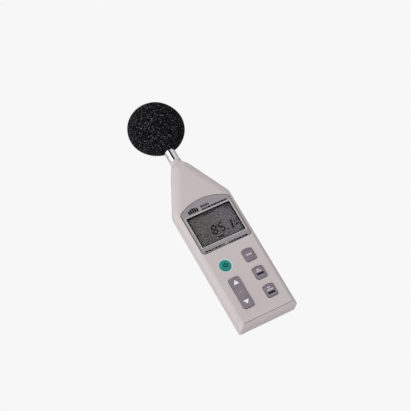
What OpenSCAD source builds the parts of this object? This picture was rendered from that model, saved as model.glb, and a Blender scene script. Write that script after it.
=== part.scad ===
// Hand-held sound level meter, standing upright: +Z runs from the foot to the microphone,
// the display faces -Y, and the microphone's axis is the Z axis. Millimetres.

/* [Case] */
// Width of the case
case_w = 72; // [70:0.5:76]
// Thickness of the case, front face to back face
case_t = 21; // [21:0.5:23]
// Height at which the sides start to taper
shoulder_z = 156.5; // [155:0.5:159]
// Height at which the taper meets the round neck
neck_base_z = 213.5; // [212:0.5:214]
// Height of the top of the neck
neck_top_z = 217.5; // [216:0.5:220]
// Radius of the neck that holds the microphone tube
neck_r = 7; // [6.9:0.1:7.4]
// Thickness of the moulded walls
wall = 2.2; // [2:0.1:2.4]
// Radius of the two corners at the foot
corner_r = 2.2; // [2:0.1:4]
// How far the edges of the front face are bevelled in from the sides
bevel_in = 4.4; // [3.5:0.1:4.8]
// How far the front face is bevelled in along the taper
taper_bevel_in = 8; // [5:0.5:9]
// How deep the front bevel is
bevel_depth = 3.5; // [3:0.1:4]
// How far the front face stops short of the foot
foot_in = 3.2; // [2:0.1:4]
// Distance of the parting line behind the middle of the case
parting_y = 3.5; // [3:0.1:4]

/* [Microphone] */
// Radius of the half-inch microphone and its tube
mic_r = 6.35; // [6:0.05:6.5]
// Height of the microphone's tip
mic_top_z = 265; // [262:0.5:268]
// Radius of the foam windscreen
ball_r = 33.8; // [30:0.1:35]
// Height of the windscreen's middle
ball_z = 264.1; // [263:0.1:267]

/* [Display] */
// Half the width of the display bezel
bezel_half = 30.9; // [30.5:0.1:31]
// Height of the bezel's lower edge
bezel_z0 = 96; // [95:0.5:98]
// Height of the top of the bezel's arch
bezel_peak_z = 158.5; // [157:0.5:160]
// Radius of the arch
arch_r = 58; // [50:1:70]
// How far the bezel stands proud of the face
bezel_proud = 0.5; // [0.3:0.1:0.8]
// Half the width of the display window
window_half = 28; // [27:0.1:28]
// Height of the window's lower edge
window_z0 = 103.4; // [103:0.1:105]
// Height of the window's upper edge
window_z1 = 142.8; // [141:0.1:143]

/* [Keys] */
// Distance of both columns of keys from the middle
column_x = 15.2; // [14.5:0.1:15.5]
// Radius of the round power button
power_r = 6.4; // [6:0.1:6.6]
// Height of the power button's middle
power_z = 74; // [73:0.1:75]
// Width of the rocker key
rocker_w = 13.2; // [13:0.1:14]
// Lower end of the rocker key
rocker_z0 = 18.6; // [18:0.1:20]
// Upper end of the rocker key
rocker_z1 = 57.2; // [56:0.1:58]
// Width of the three right keys
key_w = 12.9; // [12:0.1:14]
// Height of the three right keys
key_h = 15.3; // [15:0.1:16]
// Height of the lowest key's middle
key_low_z = 26.4; // [25:0.1:27]
// Distance from one key's middle to the next
key_pitch = 23.9; // [23.5:0.1:24]
// How far the keys stand proud of the face
key_proud = 1.1; // [1:0.1:1.5]
// How far a key travels
key_travel = 0.8; // [0.5:0.1:0.8]
// Clearance around every key
key_gap = 0.4; // [0.25:0.05:0.5]

/* [Battery compartment] */
// Width of the battery door
door_w = 49.2; // [48:0.1:50]
// Height of the battery door's upper edge
door_z1 = 59.6; // [59:0.1:60]
// Thickness of the battery door
door_t = 1.6; // [1.5:0.1:1.7]
// Radius of a dry cell
cell_r = 5.25; // [5:0.05:5.25]
// Length of a dry cell, with its nub
cell_len = 44.5; // [44:0.1:44.5]
// Distance from one cell's axis to the next
cell_pitch = 11.2; // [11:0.1:11.4]

/* [Fittings] */
// Height of the tripod socket
tripod_z = 80; // [78:1:84]
// Radius of the tripod socket's thread crests
tripod_r = 2.55; // [2.5:0.05:2.6]
// Height of the signal output socket
output_z = 112; // [110:1:114]
// Height of the power inlet
inlet_z = 96; // [94:1:98]
// Height of the calibration trimmer
trimmer_z = 128; // [126:1:130]

/* [Hidden] */
$fn = 64;
eps = 0.01;
slice_t = 0.2;
far = 100;

// Case planes
front_y = -case_t / 2;
back_y = case_t / 2;
half_w = case_w / 2;
front_inner_y = front_y + wall;
back_inner_y = back_y - wall;
back_round = 2.8;
edge_round = 1.8;
neck_square = 0.3;
taper_a = atan((half_w - neck_r - neck_square) / (neck_base_z - shoulder_z));
slope_z = neck_base_z - 12;
score_z = foot_in + 1;
score_w = 0.5;
score_deep = 0.35;
cone_slope = 0.75;
cone_h = neck_base_z + (neck_r + 0.05) / cone_slope;
cavity_top_z = 194;

// Keys stack up from the face to the board
flange_y = front_inner_y + 0.1;
flange_t = 1;
flange_out = 1.2;
mat_y = -5.9;
mat_t = 1;
pcb_y = mat_y + mat_t + 0.05;
pcb_t = 1.6;
pcb_back_y = pcb_y + pcb_t;
rocker_z = (rocker_z0 + rocker_z1) / 2;
rocker_pivot_y = -6.9;
key_zs = [key_low_z + 2 * key_pitch, key_low_z + key_pitch, key_low_z];

// Display stack
bezel_y = front_y - bezel_proud;
bezel_t = 1.2;
bezel_gap = 0.6;
window_t = 1.1;
window_y = bezel_y + bezel_t + 0.02;
lcd_y = front_inner_y + 0.4;
lcd_t = 2;
zebra_y = lcd_y + lcd_t;

// Fasteners
screw_xs = [-30.2, 30.2];
screw_zs = [8, 152.5];
screw_r = 1.3;
pilot_r = 1.15;
post_xz = [[-25, 87], [25, 87], [-19, 160], [19, 160]];

// Battery compartment
door_y = back_y - door_t;
cell_y = 3.5;
tray_z0 = 4;
tray_z1 = 56.6;
tray_half = 23.3;
tray_y = -3;

// Microphone
bore_r = mic_r + 0.05;
tube_z0 = 198;
flange_r = 8.2;
flange_z = 203;
capsule_z = mic_top_z - 12;
grid_z = mic_top_z - 4;
tube_wall = 0.6;

// Runs a flat outline, drawn as x and z, along Y from y0 to y1
module along_y(y0, y1) {
    translate([0, y1, 0])
        rotate([90, 0, 0])
            linear_extrude(y1 - y0)
                children();
}

// Runs a flat outline, drawn as y and z, along X from x0 to x1
module along_x(x0, x1) {
    translate([x0, 0, 0])
        rotate([90, 0, 90])
            linear_extrude(x1 - x0)
                children();
}

module y_cylinder(x, z, r, y0, y1) {
    translate([x, y1, z])
        rotate([90, 0, 0])
            cylinder(r = r, h = y1 - y0);
}

module x_cylinder(y, z, r, x0, x1) {
    translate([x0, y, z])
        rotate([0, 90, 0])
            cylinder(r = r, h = x1 - x0);
}

module block(low, high) {
    translate(low)
        cube(high - low);
}

// Rectangle from its corners, with true round corners
module rounded_rect(x0, z0, x1, z1, r) {
    translate([x0 + r, z0])
        square([x1 - x0 - 2 * r, z1 - z0]);
    translate([x0, z0 + r])
        square([x1 - x0, z1 - z0 - 2 * r]);
    for (x = [x0 + r, x1 - r], z = [z0 + r, z1 - r])
        translate([x, z])
            circle(r);
}

// Half width of the tapered part at height z, d inside its surface
function taper_x(z, d) = half_w - (z - shoulder_z) * tan(taper_a) - d / cos(taper_a);

// Front view of the case, d inside its sides, foot inside its lower edge and slant inside its taper
module outline(d = 0, foot = 0, slant = 0, top_z = neck_base_z) {
    w = half_w - d;
    r = max(corner_r - d, 0.6);
    tip = 0.4;
    turn_z = shoulder_z + (d - slant / cos(taper_a)) / tan(taper_a);
    apex_z = turn_z + (w - tip) / tan(taper_a);
    end_z = min(top_z, apex_z);
    top_x = max(taper_x(end_z, slant), tip);
    polygon([[-w, foot + r], [-w, turn_z], [-top_x, end_z],
             [top_x, end_z], [w, turn_z], [w, foot + r]]);
    translate([-(w - r), foot])
        square([2 * (w - r), r + 1]);
    for (s = [-1, 1])
        translate([s * (w - r), foot + r])
            circle(r, $fn = 32);
}

// Side view of the case, which thins towards the neck
module side_profile() {
    top = neck_r + neck_square;
    polygon([[front_y, -1], [front_y, slope_z], [-top, neck_base_z], [-top, neck_top_z],
             [top, neck_top_z], [top, neck_base_z], [back_y, slope_z], [back_y, -1]]);
}

// Points of a smooth bend from a to b round the corner c
function bend(a, c, b, steps = 3) =
    [for (i = [0:steps])
        let (t = i / steps)
            (1 - t) * (1 - t) * a + 2 * t * (1 - t) * c + t * t * b];

// Edge of the case in section, as distance in from the side and y, from the side to the front face
bevel_start = [0, front_y + bevel_depth];
bevel_end = [bevel_in, front_y];
bevel_dir = (bevel_end - bevel_start) / norm(bevel_end - bevel_start);
front_edge = concat(
    bend(bevel_start + [0, edge_round], bevel_start, bevel_start + edge_round * bevel_dir),
    bend(bevel_end - edge_round * bevel_dir, bevel_end, bevel_end + [edge_round, 0]));
back_edge = bend([0, back_y - back_round], [0, back_y], [back_round, back_y], 5);

// Both halves of the case as one solid, with the neck
module case_solid() {
    intersection() {
        hull() {
            for (p = front_edge)
                along_y(p[1], p[1] + slice_t)
                    outline(p[0], p[0] * foot_in / bevel_in, p[0] * taper_bevel_in / bevel_in);
            for (p = back_edge)
                along_y(p[1] - slice_t, p[1])
                    outline(p[0], p[0], p[0]);
        }
        along_x(-far, far)
            side_profile();
        // Cone that rounds the flat taper into the neck
        cylinder(r1 = cone_h * cone_slope, r2 = eps, h = cone_h);
    }
    translate([0, 0, slope_z])
        cylinder(r = neck_r, h = neck_top_z - slope_z);
}

// Hollow inside the case
module cavity() {
    hull() {
        along_y(front_y + bevel_depth, back_y - back_round)
            outline(wall, wall, wall + 1.8, cavity_top_z);
        along_y(front_inner_y, front_inner_y + eps)
            outline(bevel_in + 0.6, foot_in + 1.2, taper_bevel_in + 0.8, cavity_top_z);
        along_y(back_inner_y - eps, back_inner_y)
            outline(back_round + 0.8, back_round + 0.8, back_round + 0.8, cavity_top_z);
    }
}

// Everything that the microphone tube needs out of the neck
module neck_bore() {
    translate([0, 0, cavity_top_z - 5])
        cylinder(r = bore_r, h = neck_top_z - cavity_top_z + 10);
    translate([0, 0, flange_z - 0.1])
        cylinder(r = flange_r + 0.15, h = 2.2);
}

// Bezel's front view with its arched top
module bezel_outline(grow = 0) {
    r = 3;
    arch_z = bezel_peak_z - arch_r;
    centre_x = bezel_half - r;
    centre_z = arch_z + sqrt(pow(arch_r - r, 2) - pow(centre_x, 2));
    touch_x = centre_x * arch_r / (arch_r - r);
    intersection() {
        translate([0, arch_z])
            circle(arch_r + grow, $fn = 180);
        translate([-touch_x, bezel_z0 + r])
            square([2 * touch_x, bezel_peak_z]);
    }
    translate([-centre_x, bezel_z0 - grow])
        square([2 * centre_x, r + 1]);
    translate([-bezel_half - grow, bezel_z0 + r])
        square([2 * (bezel_half + grow), centre_z - bezel_z0 - r]);
    for (s = [-1, 1], z = [bezel_z0 + r, centre_z])
        translate([s * centre_x, z])
            circle(r + grow);
}

module key_outline(grow = 0) {
    top_r = 14;
    corner = 2.2 + grow;
    intersection() {
        rounded_rect(-key_w / 2 - grow, -key_h / 2 - grow,
                     key_w / 2 + grow, key_h / 2 + grow, corner);
        translate([0, key_h / 2 - top_r])
            circle(top_r + grow, $fn = 120);
    }
}

module rocker_outline(grow = 0) {
    rounded_rect(-rocker_w / 2 - grow, rocker_z0 - grow,
                 rocker_w / 2 + grow, rocker_z1 + grow, 2.6 + grow);
}

// The holes that the keys come out through
module key_holes() {
    y_cylinder(-column_x, power_z, power_r + key_gap, front_y - 1, front_inner_y + 1);
    // Dished rim round the power button
    translate([-column_x, front_y - eps, power_z])
        rotate([-90, 0, 0])
            cylinder(r1 = power_r + 1.8, r2 = power_r + 0.9, h = 0.7);
    along_y(front_y - 1, front_inner_y + 1) {
        translate([-column_x, 0])
            rocker_outline(key_gap);
        for (z = key_zs)
            translate([column_x, z])
                key_outline(key_gap);
    }
}

module screw_places() {
    for (x = screw_xs, z = screw_zs)
        translate([x, 0, z])
            children();
}

// Open saddles that hold the rocker's trunnions against the face
module rocker_saddles() {
    for (s = [-1, 1])
        difference() {
            block([-column_x + s * (rocker_w / 2 + 1.9) - 0.7, front_inner_y - 0.2, rocker_z - 2.4],
                  [-column_x + s * (rocker_w / 2 + 1.9) + 0.7, mat_y - 0.1, rocker_z + 2.4]);
            x_cylinder(rocker_pivot_y, rocker_z, 0.75, -far, far);
        }
}

module front_housing() {
    color("#c8bdbf")
        difference() {
            union() {
                difference() {
                    intersection() {
                        case_solid();
                        block([-far, -far, -1], [far, parting_y, 300]);
                    }
                    cavity();
                    // Shadow line along the parting
                    along_y(parting_y - 0.6, parting_y + 1)
                        difference() {
                            square([300, 500], center = true);
                            outline(0.5, 0.5, 0.5);
                            translate([0.5 - neck_r, slope_z])
                                square([2 * neck_r - 1, 30]);
                        }
                }
                screw_places()
                    y_cylinder(0, 0, 3, front_inner_y - 0.2, parting_y - 0.1);
                for (p = post_xz)
                    y_cylinder(p[0], p[1], 2, front_inner_y - 0.2, pcb_y);
                rocker_saddles();
            }
            screw_places()
                y_cylinder(0, 0, pilot_r, -6.5, parting_y + 1);
            for (p = post_xz)
                y_cylinder(p[0], p[1], 0.8, front_inner_y + 0.6, pcb_y + 1);
            neck_bore();
            key_holes();
            // Score line across the face above the foot
            block([bevel_in - half_w, front_y - 1, score_z],
                  [half_w - bevel_in, front_y + score_deep, score_z + score_w]);
            along_y(front_y - 1, bezel_y + bezel_t)
                bezel_outline(bezel_gap);
            along_y(front_y, front_inner_y + 1)
                rounded_rect(-window_half - 1, window_z0 - 1, window_half + 1, window_z1 + 1, 1);
            x_cylinder(0, output_z, 3.1, 30, far);
            x_cylinder(0, inlet_z, 3.4, 30, far);
            x_cylinder(0, trimmer_z, 1.9, 30, far);
        }
}

module rear_housing() {
    door_half = door_w / 2 + 0.3;
    color("#c4b9bb")
        difference() {
            union() {
                difference() {
                    intersection() {
                        case_solid();
                        block([-far, parting_y, -1], [far, far, 300]);
                    }
                    cavity();
                }
                screw_places()
                    y_cylinder(0, 0, 3.2, parting_y, back_inner_y + 0.2);
                y_cylinder(0, tripod_z, 8, tray_y + 3, back_inner_y + 0.2);
                // Battery tray, its rails and its end walls
                block([-tray_half - 1.2, tray_y, tray_z0 - 1.2],
                      [tray_half + 1.2, tray_y + 1, tray_z1 + 1.2]);
                for (z = [tray_z0 - 1.2, tray_z1])
                    block([-tray_half - 1.2, tray_y, z], [tray_half + 1.2, door_y - 0.1, z + 1.2]);
                for (s = [-1, 1]) {
                    block([s * (tray_half + 0.6) - 0.6, tray_y, tray_z0],
                          [s * (tray_half + 0.6) + 0.6, door_y - 0.1, tray_z1]);
                    block([s * 25.7 - 2, 6.4, tray_z0 - 1.8],
                          [s * 25.7 + 2, door_y - 0.1, door_z1 + 0.3]);
                }
            }
            neck_bore();
            screw_places() {
                y_cylinder(0, 0, 1.5, -far, far);
                y_cylinder(0, 0, 2.7, 6.4, far);
            }
            y_cylinder(0, tripod_z, 4.9, 2, far);
            // Door opening, tongue grooves and the room for the cells
            block([-door_half, door_y - 0.1, -2], [door_half, far, door_z1 + 0.3]);
            block([-door_half - 1.4, door_y - 0.1, -2],
                  [door_half + 1.4, door_y + 0.85, door_z1 + 0.3]);
            block([-tray_half, tray_y + 1, tray_z0], [tray_half, far, tray_z1]);
            along_y(back_y - 0.3, far)
                rounded_rect(-24, 100, 24, 142, 2);
        }
}

module battery_door() {
    color("#c4b9bb")
        difference() {
            intersection() {
                case_solid();
                union() {
                    block([-door_w / 2, door_y, 0.4], [door_w / 2, far, door_z1]);
                    block([-door_w / 2 - 1.3, door_y, 3],
                          [door_w / 2 + 1.3, door_y + 0.75, door_z1 - 1]);
                }
            }
            // Thumb grip
            for (i = [0:4])
                block([-9, back_y - 0.5, 42 + i * 2.4], [9, far, 43.2 + i * 2.4]);
        }
}

module display_bezel() {
    color("#a8a3a9")
        difference() {
            along_y(bezel_y, bezel_y + bezel_t - 0.02)
                bezel_outline();
            along_y(-far, far)
                rounded_rect(-window_half, window_z0, window_half, window_z1, 0.6);
        }
}

module display_window() {
    color("#d8dde0", 0.4)
        along_y(window_y, window_y + window_t)
            rounded_rect(-window_half - 0.9, window_z0 - 0.9,
                         window_half + 0.9, window_z1 + 0.9, 0.8);
}

module lcd_holder() {
    color("#2c2c30")
        difference() {
            block([-30.6, front_inner_y + 0.05, window_z0 - 4.8],
                  [30.6, pcb_y - 0.02, window_z1 + 4.8]);
            block([-window_half - 1.5, lcd_y - 0.05, window_z0 - 2.6],
                  [window_half + 1.5, 0, window_z1 + 2.6]);
            block([-window_half - 0.5, -far, window_z0 - 0.5],
                  [window_half + 0.5, 0, window_z1 + 0.5]);
        }
}

module lcd_panel() {
    color("#5f5d60") {
        block([-window_half - 0.9, lcd_y, window_z0 - 1],
              [window_half + 0.9, lcd_y + lcd_t / 2, window_z1 + 1]);
        block([-window_half - 1.4, lcd_y + lcd_t / 2, window_z0 - 2.5],
              [window_half + 1.4, lcd_y + lcd_t, window_z1 + 2.5]);
    }
}

module zebra_strips() {
    color("#3a3a3e")
        for (z = [window_z0 - 2.4, window_z1 + 0.2])
            block([-27, zebra_y + 0.01, z], [27, pcb_y - 0.01, z + 2.2]);
}

module power_button() {
    color("#0c7878") {
        y_cylinder(-column_x, power_z, power_r, front_y - key_proud, flange_y + 0.2);
        y_cylinder(-column_x, power_z, power_r + flange_out, flange_y, flange_y + flange_t);
    }
}

module level_rocker() {
    color("#857b86")
        difference() {
            union() {
                translate([-column_x, 0])
                    along_y(front_y - key_proud, flange_y + 0.4)
                        rocker_outline();
                block([-column_x - rocker_w / 2 + 1, flange_y, rocker_z - 2.2],
                      [-column_x + rocker_w / 2 - 1, rocker_pivot_y + 0.7, rocker_z + 2.2]);
                x_cylinder(rocker_pivot_y, rocker_z, 0.68,
                           -column_x - rocker_w / 2 - 2.4, -column_x + rocker_w / 2 + 2.4);
            }
            // Shallow thumb hollow across the middle
            x_cylinder(front_y - key_proud - 29.6, rocker_z, 30, -far, far);
        }
}

module push_key(z) {
    color("#857b86")
        translate([column_x, 0, z]) {
            along_y(front_y - key_proud, flange_y + 0.2)
                key_outline();
            along_y(flange_y, flange_y + flange_t)
                key_outline(flange_out);
        }
}

module key_upper() {
    push_key(key_zs[0]);
}

module key_middle() {
    push_key(key_zs[1]);
}

module key_lower() {
    push_key(key_zs[2]);
}

// Where the contact domes are, as x and z
dome_xz = concat([[-column_x, power_z], [-column_x, rocker_z0 + 6], [-column_x, rocker_z1 - 6]],
                 [for (z = key_zs) [column_x, z]]);

// Silicone mat with a hollow dome under each contact, just clear of the keys' full travel
module keypad_mat() {
    dome_y = flange_y + flange_t + key_travel + 0.1;
    color("#9aa0a4")
        difference() {
            union() {
                block([-25, mat_y, 14], [25, mat_y + mat_t, 84]);
                for (p = dome_xz)
                    y_cylinder(p[0], p[1], 4, dome_y, mat_y + 0.2);
            }
            for (p = dome_xz)
                y_cylinder(p[0], p[1], 2.6, -far, mat_y + 0.5);
        }
}

module main_pcb() {
    color("#2f6b46")
        difference() {
            along_y(pcb_y, pcb_back_y)
                polygon([[-27, 12], [27, 12], [27, 156], [13, 184], [-13, 184], [-27, 156]]);
            for (p = post_xz)
                y_cylinder(p[0], p[1], 1.1, -far, far);
        }
}

module pcb_screws() {
    color("#b8bcc0")
        for (p = post_xz) {
            y_cylinder(p[0], p[1], 0.95, pcb_y - 2.6, pcb_back_y + 0.1);
            difference() {
                y_cylinder(p[0], p[1], 1.9, pcb_back_y + 0.02, pcb_back_y + 1.2);
                block([p[0] - 1.2, pcb_back_y + 0.7, p[1] - 0.2], [p[0] + 1.2, far, p[1] + 0.2]);
                block([p[0] - 0.2, pcb_back_y + 0.7, p[1] - 1.2], [p[0] + 0.2, far, p[1] + 1.2]);
            }
        }
}

module processor_chip() {
    pin_pitch = 1.3;
    chip_z = 120;
    color("#26262a") {
        block([-7, pcb_back_y + 0.3, chip_z - 7], [7, pcb_back_y + 1.9, chip_z + 7]);
        for (i = [-4:4], s = [-1, 1])
            block([i * pin_pitch - 0.3, pcb_back_y + 0.02, chip_z + s * 7.6 - 0.8],
                  [i * pin_pitch + 0.3, pcb_back_y + 0.9, chip_z + s * 7.6 + 0.8]);
    }
}

module shield_can() {
    color("#b9bcc0")
        difference() {
            block([-11, pcb_back_y + 0.02, 150], [11, pcb_back_y + 4.5, 172]);
            block([-10.6, pcb_back_y, 150.4], [10.6, pcb_back_y + 4.1, 171.6]);
        }
}

module output_jack() {
    color("#1f1f22")
        difference() {
            union() {
                block([22, pcb_back_y + 0.02, output_z - 4], [33, 3.2, output_z + 4]);
                x_cylinder(0, output_z, 2.9, 32, half_w - 0.3);
            }
            x_cylinder(0, output_z, 1.8, 23.5, far);
        }
}

module dc_jack() {
    color("#1f1f22") {
        difference() {
            union() {
                block([22, pcb_back_y + 0.02, inlet_z - 5], [33, 3.9, inlet_z + 5]);
                x_cylinder(0, inlet_z, 3.25, 32, half_w - 0.3);
            }
            x_cylinder(0, inlet_z, 2.8, 24, far);
        }
        x_cylinder(0, inlet_z, 1.0, 23.5, half_w - 1.2);
    }
}

module trimmer_body() {
    color("#2b4f9a")
        difference() {
            block([25.6, pcb_back_y + 0.02, trimmer_z - 3.2], [32, 3.3, trimmer_z + 3.2]);
            x_cylinder(0, trimmer_z, 1.75, 30, far);
        }
}

module trimmer_rotor() {
    color("#d8c98a")
        difference() {
            x_cylinder(0, trimmer_z, 1.7, 30.1, 33.4);
            block([32.8, -2, trimmer_z - 0.25], [far, 2, trimmer_z + 0.25]);
        }
}

module mic_tube() {
    color("#d2d3d6")
        difference() {
            union() {
                translate([0, 0, tube_z0])
                    cylinder(r = mic_r, h = capsule_z - tube_z0);
                translate([0, 0, flange_z])
                    cylinder(r = flange_r, h = 2);
            }
            translate([0, 0, tube_z0 - 1])
                cylinder(r = mic_r - tube_wall, h = capsule_z - tube_z0 + 2);
        }
}

module mic_capsule() {
    color("#c4c5c8")
        difference() {
            union() {
                translate([0, 0, capsule_z + 0.02])
                    cylinder(r = mic_r, h = grid_z - capsule_z - 0.04);
                translate([0, 0, capsule_z - 4])
                    cylinder(r = mic_r - tube_wall - 0.03, h = 5);
            }
            translate([0, 0, capsule_z + 3])
                cylinder(r = mic_r - 1, h = far);
        }
}

module mic_diaphragm() {
    color("#e0dfd8")
        translate([0, 0, grid_z - 0.6])
            cylinder(r = mic_r - 1.05, h = 0.3);
}

module mic_grid() {
    slots = 8;
    color("#a9abb0")
        difference() {
            translate([0, 0, grid_z])
                cylinder(r = mic_r, h = mic_top_z - grid_z);
            translate([0, 0, grid_z - 1])
                cylinder(r = mic_r - 0.5, h = mic_top_z - grid_z + 0.4);
            for (i = [0:slots - 1])
                rotate(i * 360 / slots)
                    translate([2, -0.3, grid_z + 2])
                        cube([2.6, 0.6, 5]);
        }
}

module preamp_board() {
    color("#2f6b46")
        block([-4.2, -0.5, tube_z0 + 2], [4.2, 0.5, capsule_z - 5]);
    color("#26262a")
        for (z = [212, 224, 236])
            block([-1.8, 0.4, z], [1.8, 1.7, z + 4]);
}

// Three wires that leave the board in the tube and turn forward to the main board
module mic_lead() {
    bend_r = 2.6;
    wire_r = 0.45;
    turn_z = 184;
    color("#b03030")
        for (x = [-2, 0, 2]) {
            translate([x, 0, turn_z])
                cylinder(r = wire_r, h = tube_z0 + 1.9 - turn_z);
            translate([x, -bend_r, turn_z])
                rotate([90, 0, 90])
                    rotate_extrude(angle = -90)
                        translate([bend_r, 0])
                            circle(wire_r, $fn = 24);
            y_cylinder(x, turn_z - bend_r, wire_r, pcb_back_y + 0.05, -bend_r);
        }
}

module windscreen() {
    color("#1c1b1f")
        difference() {
            translate([0, 0, ball_z])
                sphere(r = ball_r, $fn = 96);
            translate([0, 0, ball_z - ball_r - 1])
                cylinder(r = mic_r + 0.2, h = mic_top_z + 0.4 - ball_z + ball_r + 1);
        }
}

module tripod_insert() {
    color("#b99a52")
        difference() {
            y_cylinder(0, tripod_z, 5, 2.6, back_y - 0.2);
            y_cylinder(0, tripod_z, tripod_r, 3.6, far);
            y_cylinder(0, tripod_z, 3.2, back_y - 0.9, far);
        }
}

module case_screws() {
    color("#6a6c70")
        screw_places()
            difference() {
                union() {
                    y_cylinder(0, 0, screw_r, -4, 6.6);
                    y_cylinder(0, 0, 2.4, 6.42, 8.2);
                }
                block([-1.6, 7.5, -0.3], [1.6, far, 0.3]);
                block([-0.3, 7.5, -1.6], [0.3, far, 1.6]);
            }
}

// A dry cell; odd ones have the nub at the top
module cell(i) {
    nub_r = 1.9;
    up = i % 2 == 1;
    x = (i - 2.5) * cell_pitch;
    z0 = up ? tray_z1 - 0.6 - cell_len : tray_z0 + 0.6;
    color(up ? "#c9a24a" : "#3b3b3f")
        translate([x, cell_y, z0]) {
            translate([0, 0, up ? 0 : 1])
                cylinder(r = cell_r, h = cell_len - 1);
            cylinder(r = up ? cell_r - 0.6 : nub_r, h = cell_len - 0.5);
            translate([0, 0, up ? 1 : 0.5])
                cylinder(r = up ? nub_r : cell_r - 0.6, h = cell_len - (up ? 1 : 0.5));
        }
}

module cell_1() {
    cell(1);
}

module cell_2() {
    cell(2);
}

module cell_3() {
    cell(3);
}

module cell_4() {
    cell(4);
}

// Height at which each cell's spring starts, from the tray's end
function spring_z(i) = i % 2 == 1 ? tray_z0 + 0.45 : tray_z0 + 0.65 + cell_len;

// Conical coil spring swept along its helix with a six-sided wire
module coil_spring(i) {
    turns = 4;
    steps = 12;
    sides = 6;
    height = tray_z1 - tray_z0 - cell_len - 1.15;
    wire = 0.35;
    n = turns * steps;
    up = i % 2 == 1;
    function wide(t) = up ? 4.2 - 1.8 * t : 2.4 + 1.8 * t;
    points = [for (k = [0:n], s = [0:sides - 1])
        let (t = k / n, a = 360 * k / steps, b = 360 * s / sides, r = wide(t) + wire * cos(b))
            [r * cos(a), r * sin(a), wire + t * (height - 2 * wire) + wire * sin(b)]];
    faces = concat(
        [[for (s = [0:sides - 1]) s]],
        [[for (s = [sides - 1:-1:0]) n * sides + s]],
        [for (k = [0:n - 1], s = [0:sides - 1])
            let (low = k * sides, high = low + sides, next = (s + 1) % sides)
                [low + s, high + s, high + next, low + next]]);
    translate([(i - 2.5) * cell_pitch, cell_y, spring_z(i)])
        polyhedron(points, faces);
}

module battery_springs() {
    color("#c8c9cc")
        for (i = [1:4])
            coil_spring(i);
}

module battery_contacts() {
    color("#c8c9cc") {
        for (i = [1:4], z = [tray_z0 + 0.02, tray_z1 - 0.42])
            block([(i - 2.5) * cell_pitch - 4.6, -0.6, z],
                  [(i - 2.5) * cell_pitch + 4.6, 8, z + 0.4]);
    }
}

module rear_label() {
    color("#d9d8d6")
        along_y(back_y - 0.29, back_y - 0.04)
            rounded_rect(-23.8, 100.2, 23.8, 141.8, 1.8);
}

front_housing();
rear_housing();
battery_door();
display_bezel();
display_window();
lcd_holder();
lcd_panel();
zebra_strips();
power_button();
level_rocker();
key_upper();
key_middle();
key_lower();
keypad_mat();
main_pcb();
pcb_screws();
processor_chip();
shield_can();
output_jack();
dc_jack();
trimmer_body();
trimmer_rotor();
mic_tube();
mic_capsule();
mic_diaphragm();
mic_grid();
preamp_board();
mic_lead();
windscreen();
tripod_insert();
case_screws();
cell_1();
cell_2();
cell_3();
cell_4();
battery_springs();
battery_contacts();
rear_label();
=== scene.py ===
"""Looks of a hand-held sound level meter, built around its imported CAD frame. Metres throughout."""
import math

import bmesh
import bpy
import numpy as np
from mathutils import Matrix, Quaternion, Vector, kdtree
from mathutils.geometry import convex_hull_2d


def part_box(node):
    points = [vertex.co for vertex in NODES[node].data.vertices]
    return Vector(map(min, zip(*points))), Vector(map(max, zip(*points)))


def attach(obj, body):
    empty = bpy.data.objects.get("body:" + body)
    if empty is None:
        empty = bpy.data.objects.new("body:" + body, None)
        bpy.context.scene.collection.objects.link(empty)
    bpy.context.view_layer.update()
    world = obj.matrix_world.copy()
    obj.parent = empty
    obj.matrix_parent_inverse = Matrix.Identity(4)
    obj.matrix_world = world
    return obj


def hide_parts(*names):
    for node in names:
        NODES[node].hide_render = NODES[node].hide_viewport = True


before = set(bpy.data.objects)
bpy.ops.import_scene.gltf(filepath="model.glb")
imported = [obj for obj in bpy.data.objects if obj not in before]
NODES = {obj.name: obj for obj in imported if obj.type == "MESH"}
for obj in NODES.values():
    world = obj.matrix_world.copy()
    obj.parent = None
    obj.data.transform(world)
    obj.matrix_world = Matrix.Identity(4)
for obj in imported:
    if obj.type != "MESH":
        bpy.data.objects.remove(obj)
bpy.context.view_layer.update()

# Camera: how the meter was seen, as an orbit round its own axis and a roll
CAMERA_AZIMUTH = -19.42
CAMERA_ELEVATION = -20.10
CAMERA_ROLL = -30.75
CAMERA_DISTANCE = 1.6
CAMERA_LENS = 123.56
TARGET_HEIGHT = 0.150
TARGET_RIGHT = 0.00422
TARGET_UP = 0.00205

# Bezel corners, as designed
BEZEL_ARCH_R = 0.058
BEZEL_CORNER_R = 0.003

# Studio light: colours of the tent on its dim and bright sides, and the cards that polished metal
# reflects, as bearings in degrees to the right of the camera and brightness
TENT_BRIGHT_SIDE = (-1.0, -0.3, -0.17)
TENT_DIM = (0.315, 0.302, 0.307, 1)
TENT_BRIGHT = (1.045, 1.09, 1.07, 1)
CARDS = ((-180, 0.32), (-150, 0.5), (-92, 0.6), (-85, 1.04), (-48, 1.04), (-44, 0.0), (24, 0.0), (29, 0.76),
         (104, 0.74), (112, 0.36), (180, 0.28))
LAMP_PLACE = (-0.9, -0.8, 0.9)
LAMP_AIM = (0, 0, 0.14)
LAMP_SIZE = 0.7
LAMP_POWER = 4
FLOOR_REACH = 0.75
FLOOR_DROP = 0.0003

# Print on the bezel and the keys stands this proud of its face
PRINT_LIFT = 0.00005
# Print on the keys also reaches this far below their face
PRINT_SINK = 0.00002
# Thickness of the ink on the rear label and the battery door
LABEL_INK = 0.00004


# ---------------------------------------------------------------- colours and materials

def srgb(red, green, blue):
    """Linear colour of an 8-bit sRGB one."""
    def linear(value):
        value /= 255
        return value / 12.92 if value <= 0.04045 else ((value + 0.055) / 1.055) ** 2.4
    return (linear(red), linear(green), linear(blue), 1)


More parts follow.
